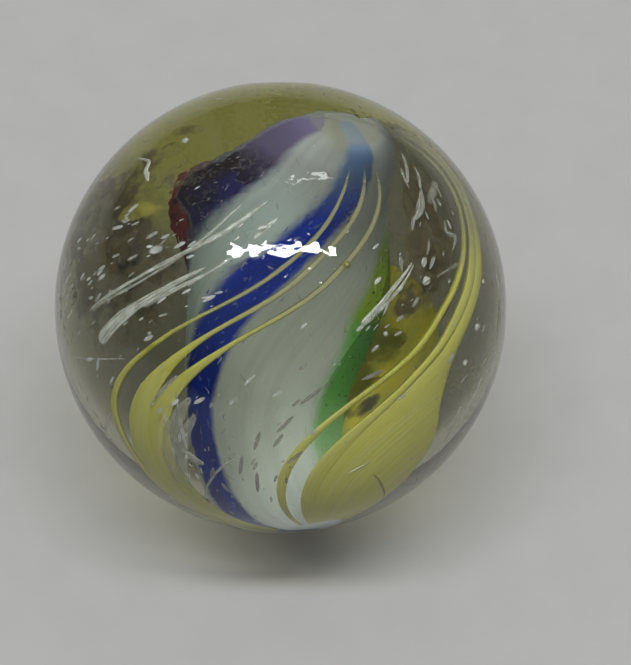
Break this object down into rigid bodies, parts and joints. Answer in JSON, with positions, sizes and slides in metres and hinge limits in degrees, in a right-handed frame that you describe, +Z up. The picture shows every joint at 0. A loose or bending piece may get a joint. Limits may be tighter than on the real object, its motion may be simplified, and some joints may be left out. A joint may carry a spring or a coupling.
{
  "type": "glass swirl marble",
  "caption": "Round clear glass marble with a twisted white core, blue, violet, red and green stripes on it, and thin yellow strands spiralling around it under the surface.",
  "frame": {"origin": "the centre of the ball", "axes": "+Z up as the marble lies; the swirl's axis leans back from +Z towards +Y by 50 degrees and bends as it rises, and -Y is the side the swirl is seen from"},
  "size_m": [0.019, 0.019, 0.019],
  "materials": {
    "clear_glass": "clear, polished by use, with fine wear",
    "white_glass": "opaque, slightly translucent at its edges",
    "blue_glass": "opaque",
    "violet_glass": "opaque",
    "red_glass": "opaque",
    "green_glass": "translucent",
    "yellow_glass": "opaque"
  },
  "bodies": {
    "root": {"clear_glass": "clear_glass", "white_core": "white_glass", "blue_stripe": "blue_glass", "violet_stripe": "violet_glass", "red_edge": "red_glass", "green_edge": "green_glass", "left_strands": "yellow_glass", "right_strands": "yellow_glass", "back_strands": "yellow_glass"}
  },
  "joints": []
}
